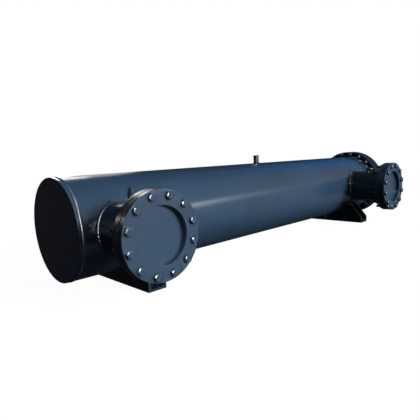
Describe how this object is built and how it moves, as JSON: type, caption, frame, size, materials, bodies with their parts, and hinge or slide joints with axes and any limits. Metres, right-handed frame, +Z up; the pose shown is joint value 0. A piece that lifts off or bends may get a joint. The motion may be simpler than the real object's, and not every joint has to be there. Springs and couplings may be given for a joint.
{
  "type": "shell and tube heat exchanger",
  "caption": "Horizontal shell and tube heat exchanger on two saddles, with flanged and blanked water nozzles, a top vent and a bolted head on the tube side.",
  "frame": {"origin": "on the floor, at the centre of the rectangle of the four anchor holes, under the shell's axis", "axes": "+X along the shell towards the bolted head, the water nozzles point to -Y, +Z up"},
  "size_m": [2.786, 0.7525, 0.5565],
  "materials": {
    "painted_shell": "dark slate blue semi-gloss paint on rolled steel",
    "painted_flange": "dark slate blue semi-gloss paint on turned steel",
    "painted_saddle": "dark slate blue semi-gloss paint on flame-cut plate",
    "painted_fittings": "dark slate blue semi-gloss paint on small pipes and sockets",
    "bare_steel": "ground bare steel",
    "gasket": "matt black sheet gasket"
  },
  "bodies": {
    "root": {"shell": "painted_shell", "near_end_plate": "painted_shell", "vent_pipe": "painted_fittings", "near_neck": "painted_shell", "near_nozzle_flange": "painted_flange", "near_nozzle_gasket": "gasket", "near_blank_disc": "painted_flange", "near_companion_flange": "painted_flange", "near_sensor_socket": "painted_fittings", "near_sensor_plug": "painted_fittings", "far_neck": "painted_shell", "far_nozzle_flange": "painted_flange", "far_nozzle_gasket": "gasket", "far_blank_disc": "painted_flange", "far_companion_flange": "painted_flange", "far_sensor_socket": "painted_fittings", "far_sensor_plug": "painted_fittings", "near_saddle_base": "painted_saddle", "near_saddle_outer_web": "painted_saddle", "near_saddle_inner_web": "painted_saddle", "near_saddle_front_rib": "painted_saddle", "near_saddle_back_rib": "painted_saddle", "far_saddle_base": "painted_saddle", "far_saddle_inner_web": "painted_saddle", "far_saddle_outer_web": "painted_saddle", "far_saddle_front_rib": "painted_saddle", "far_saddle_back_rib": "painted_saddle", "earthing_lug": "bare_steel", "tube_sheet": "painted_flange", "head_gasket": "gasket", "head": "painted_flange", "outlet_pipe": "painted_fittings", "inlet_pipe": "painted_fittings", "tube_bundle": "bare_steel"}
  },
  "joints": []
}
